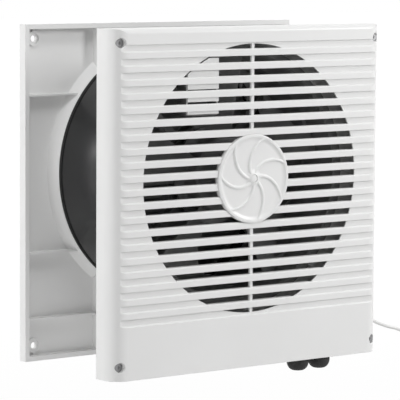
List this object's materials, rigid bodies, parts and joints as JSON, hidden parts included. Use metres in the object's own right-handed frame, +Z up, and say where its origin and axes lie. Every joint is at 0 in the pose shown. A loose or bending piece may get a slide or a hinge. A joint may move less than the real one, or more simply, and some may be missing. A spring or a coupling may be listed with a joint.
{
  "type": "room-to-room fan",
  "caption": "Square louvred through-wall fan with a telescoping round sleeve, a ribbed far cover, two control knobs and a mains lead.",
  "frame": {"origin": "on the sleeve's axis, in the wall plane at the back of the front unit", "axes": "+Y along the sleeve's axis from the front unit through the wall, +Z up, +X to the right seen from the louvres"},
  "size_m": [0.408, 0.1427, 0.4288],
  "materials": {
    "white_abs": "satin moulded white",
    "charcoal_plastic": "smooth dark grey",
    "blade_plastic": "smooth dark grey",
    "motor_metal": "plain zinc",
    "screw_steel": "zinc plated",
    "bearing_brass": "plain",
    "control_body": "moulded",
    "knob_black": "fine textured black",
    "lead_white": "smooth white flex",
    "tie_black": "matt",
    "seal_black": "matt"
  },
  "bodies": {
    "housing": {"front_cover": "white_abs", "swirl_cap": "white_abs", "front_base": "white_abs", "cover_screws": "screw_steel", "inner_sleeve": "charcoal_plastic", "fan_frame": "charcoal_plastic", "motor_housing": "motor_metal", "front_bearing": "bearing_brass", "rear_bearing": "bearing_brass", "motor_screws": "screw_steel", "terminal_box": "charcoal_plastic", "terminal_lid": "white_abs", "lid_screw": "screw_steel", "speed_control": "control_body", "power_switch": "control_body", "control_nuts": "screw_steel", "cord_grommet": "lead_white", "power_cord": "lead_white", "cord_coil": "lead_white", "cord_tie": "tie_black", "plug_lead": "lead_white", "plug_body": "lead_white", "plug_pins": "bearing_brass"},
    "fan": {"impeller": "blade_plastic", "motor_shaft": "screw_steel", "hub_nut": "screw_steel"},
    "speed_dial": {"speed_knob": "knob_black", "speed_spindle": "screw_steel"},
    "switch_dial": {"switch_knob": "knob_black", "switch_spindle": "screw_steel"},
    "far_side": {"rear_cover": "white_abs", "rear_louvre": "charcoal_plastic", "outer_sleeve": "charcoal_plastic", "sleeve_seal": "seal_black"}
  },
  "joints": [
    {"name": "fan_spin", "type": "hinge", "parent": "housing", "child": "fan", "pos_m": [0, 0, 0], "axis": [0, 1, 0], "continuous": true},
    {"name": "sleeve_slide", "type": "slide", "parent": "housing", "child": "far_side", "axis": [0, 1, 0], "range_m": [-0.015, 0.06]},
    {"name": "speed_turn", "type": "hinge", "parent": "housing", "child": "speed_dial", "pos_m": [0.061, -0.013, -0.165], "axis": [0, 0, 1], "range_deg": [0, 270]},
    {"name": "switch_turn", "type": "hinge", "parent": "housing", "child": "switch_dial", "pos_m": [0.085, -0.013, -0.165], "axis": [0, 0, 1], "range_deg": [0, 90]}
  ]
}
